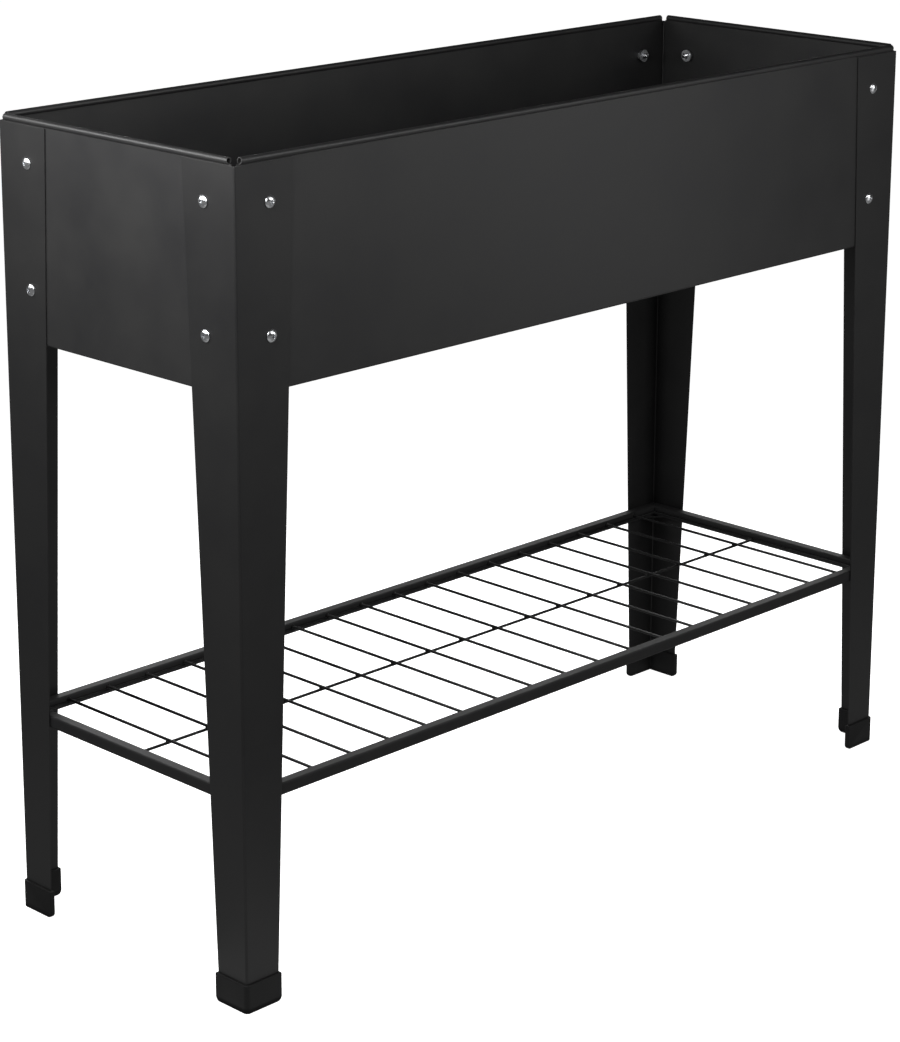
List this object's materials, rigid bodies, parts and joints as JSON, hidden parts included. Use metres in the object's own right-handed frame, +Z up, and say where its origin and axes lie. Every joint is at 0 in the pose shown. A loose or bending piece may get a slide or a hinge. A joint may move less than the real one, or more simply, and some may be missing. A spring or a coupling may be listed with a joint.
{
  "type": "raised planter on legs",
  "caption": "Waist-high rectangular sheet steel planter box bolted inside tapered angle legs, with a wire shelf below.",
  "frame": {"origin": "centre of the footprint, on the ground under the foot caps", "axes": "+Z up, +X along the long side, +Y from the front long side to the back"},
  "size_m": [0.9564, 0.3364, 0.8],
  "materials": {
    "black_coated_panels": "satin black powder coat on sheet steel",
    "black_coated_legs": "satin black powder coat on folded steel",
    "black_coated_frame": "satin black powder coat on steel tube",
    "black_coated_wire": "satin black powder coat on steel wire",
    "zinc_fasteners": "bright zinc plate",
    "black_screws": "black oxide",
    "foot_moulding": "matt black moulded plastic"
  },
  "bodies": {
    "root": {"back_border_wire": "black_coated_wire", "back_left_bolts": "zinc_fasteners", "back_left_foot_cap": "foot_moulding", "back_left_leg": "black_coated_legs", "back_left_nuts": "zinc_fasteners", "back_left_shelf_tab": "black_coated_frame", "back_panel": "black_coated_panels", "back_right_bolts": "zinc_fasteners", "back_right_foot_cap": "foot_moulding", "back_right_leg": "black_coated_legs", "back_right_nuts": "zinc_fasteners", "back_right_shelf_tab": "black_coated_frame", "back_shelf_rail": "black_coated_frame", "centre_wire": "black_coated_wire", "cross_wire_01": "black_coated_wire", "cross_wire_02": "black_coated_wire", "cross_wire_03": "black_coated_wire", "cross_wire_04": "black_coated_wire", "cross_wire_05": "black_coated_wire", "cross_wire_06": "black_coated_wire", "cross_wire_07": "black_coated_wire", "cross_wire_08": "black_coated_wire", "cross_wire_09": "black_coated_wire", "cross_wire_10": "black_coated_wire", "cross_wire_11": "black_coated_wire", "cross_wire_12": "black_coated_wire", "cross_wire_13": "black_coated_wire", "cross_wire_14": "black_coated_wire", "cross_wire_15": "black_coated_wire", "cross_wire_16": "black_coated_wire", "cross_wire_17": "black_coated_wire", "cross_wire_18": "black_coated_wire", "floor_panel": "black_coated_panels", "front_border_wire": "black_coated_wire", "front_left_bolts": "zinc_fasteners", "front_left_foot_cap": "foot_moulding", "front_left_leg": "black_coated_legs", "front_left_nuts": "zinc_fasteners", "front_left_shelf_tab": "black_coated_frame", "front_panel": "black_coated_panels", "front_right_bolts": "zinc_fasteners", "front_right_foot_cap": "foot_moulding", "front_right_leg": "black_coated_legs", "front_right_nuts": "zinc_fasteners", "front_right_shelf_tab": "black_coated_frame", "front_shelf_rail": "black_coated_frame", "left_border_wire": "black_coated_wire", "left_panel": "black_coated_panels", "left_shelf_rail": "black_coated_frame", "right_border_wire": "black_coated_wire", "right_panel": "black_coated_panels", "right_shelf_rail": "black_coated_frame", "shelf_screws": "black_screws"}
  },
  "joints": []
}
